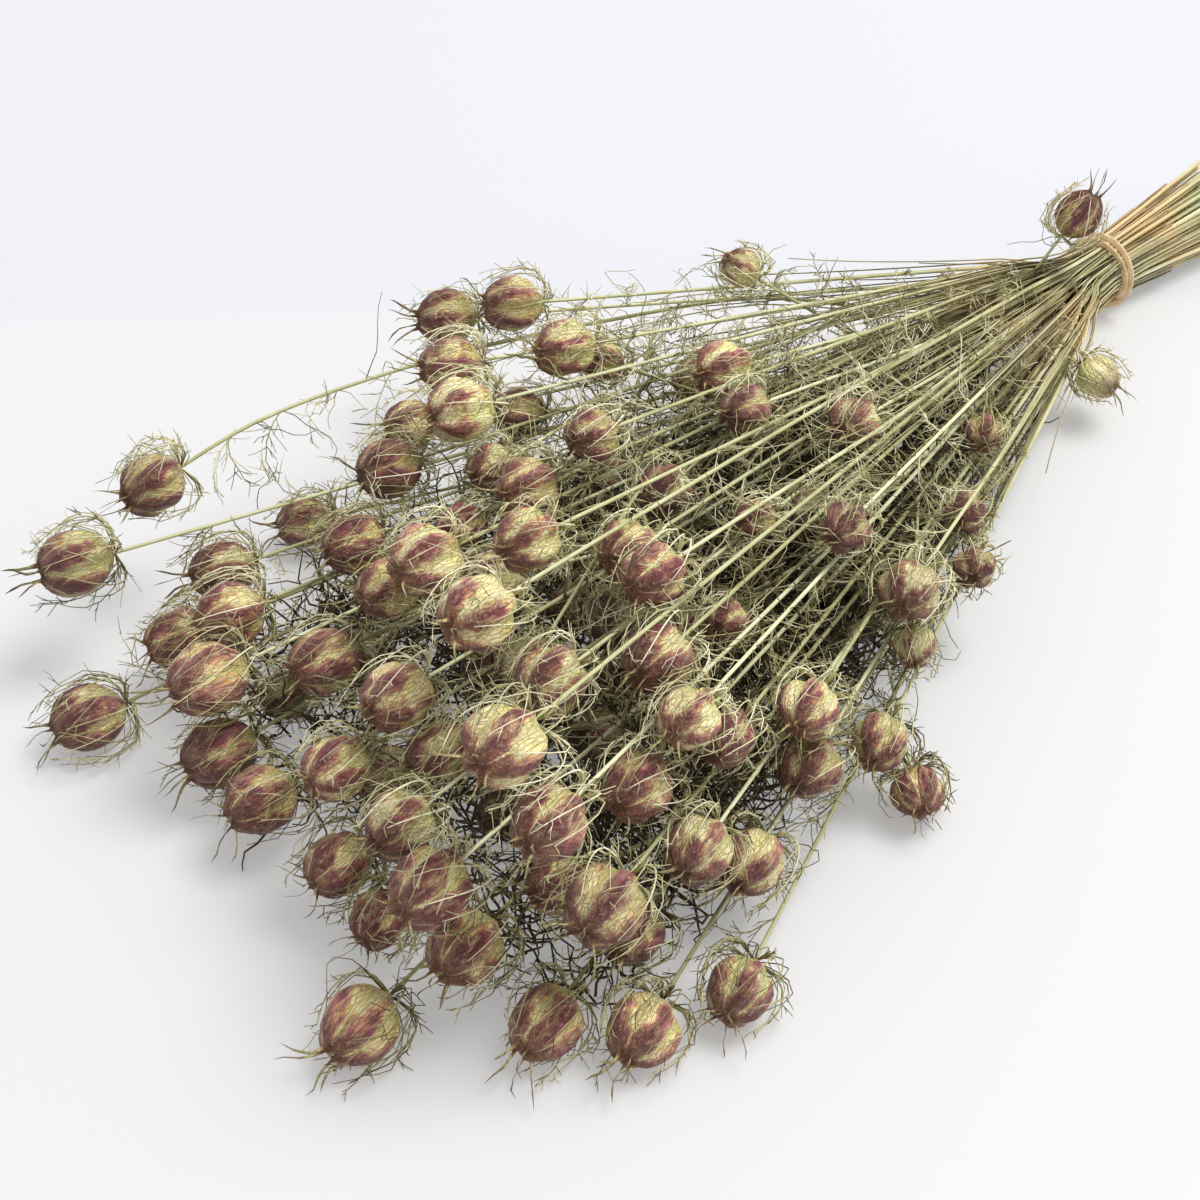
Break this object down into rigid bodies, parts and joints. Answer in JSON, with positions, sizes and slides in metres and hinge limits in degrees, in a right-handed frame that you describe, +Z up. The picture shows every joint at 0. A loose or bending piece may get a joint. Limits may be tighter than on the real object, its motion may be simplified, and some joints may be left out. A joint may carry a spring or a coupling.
{
  "type": "dried nigella seed pod bunch",
  "caption": "Bunch of dried nigella stems lying down, tied with a doubled rubber band, fanned out into papery ribbed seed pods with horns and thread leaves.",
  "frame": {"origin": "middle of the bunch's bounding box, on the table that it lies on", "axes": "+X along the bunch from the cut stem ends to the seed pods, +Z up from the table, +Y across the bunch"},
  "size_m": [0.5942, 0.317, 0.1213],
  "materials": {
    "dried_stem": "dry, matte sage green to straw, browner towards the cut ends",
    "papery_pod": "thin, dry and papery, cream to pale green with burgundy bands",
    "rubber_band": "satin tan rubber"
  },
  "bodies": {
    "root": {"stem_01": "dried_stem", "stem_02": "dried_stem", "stem_03": "dried_stem", "stem_04": "dried_stem", "stem_05": "dried_stem", "stem_06": "dried_stem", "stem_07": "dried_stem", "stem_08": "dried_stem", "stem_09": "dried_stem", "stem_10": "dried_stem", "stem_11": "dried_stem", "stem_12": "dried_stem", "stem_13": "dried_stem", "stem_14": "dried_stem", "stem_15": "dried_stem", "stem_16": "dried_stem", "stem_17": "dried_stem", "stem_18": "dried_stem", "stem_19": "dried_stem", "stem_20": "dried_stem", "stem_21": "dried_stem", "stem_22": "dried_stem", "stem_23": "dried_stem", "stem_24": "dried_stem", "stem_25": "dried_stem", "stem_26": "dried_stem", "stem_27": "dried_stem", "stem_28": "dried_stem", "stem_29": "dried_stem", "stem_30": "dried_stem", "stem_31": "dried_stem", "stem_32": "dried_stem", "stem_33": "dried_stem", "stem_34": "dried_stem", "stem_35": "dried_stem", "stem_36": "dried_stem", "stem_37": "dried_stem", "stem_38": "dried_stem", "stem_39": "dried_stem", "stem_40": "dried_stem", "stem_41": "dried_stem", "stem_42": "dried_stem", "stem_43": "dried_stem", "stem_44": "dried_stem", "stem_45": "dried_stem", "stem_46": "dried_stem", "stem_47": "dried_stem", "stem_48": "dried_stem", "stem_49": "dried_stem", "stem_50": "dried_stem", "stem_51": "dried_stem", "stem_52": "dried_stem", "stem_53": "dried_stem", "stem_54": "dried_stem", "stem_55": "dried_stem", "tie": "rubber_band"}
  },
  "joints": []
}
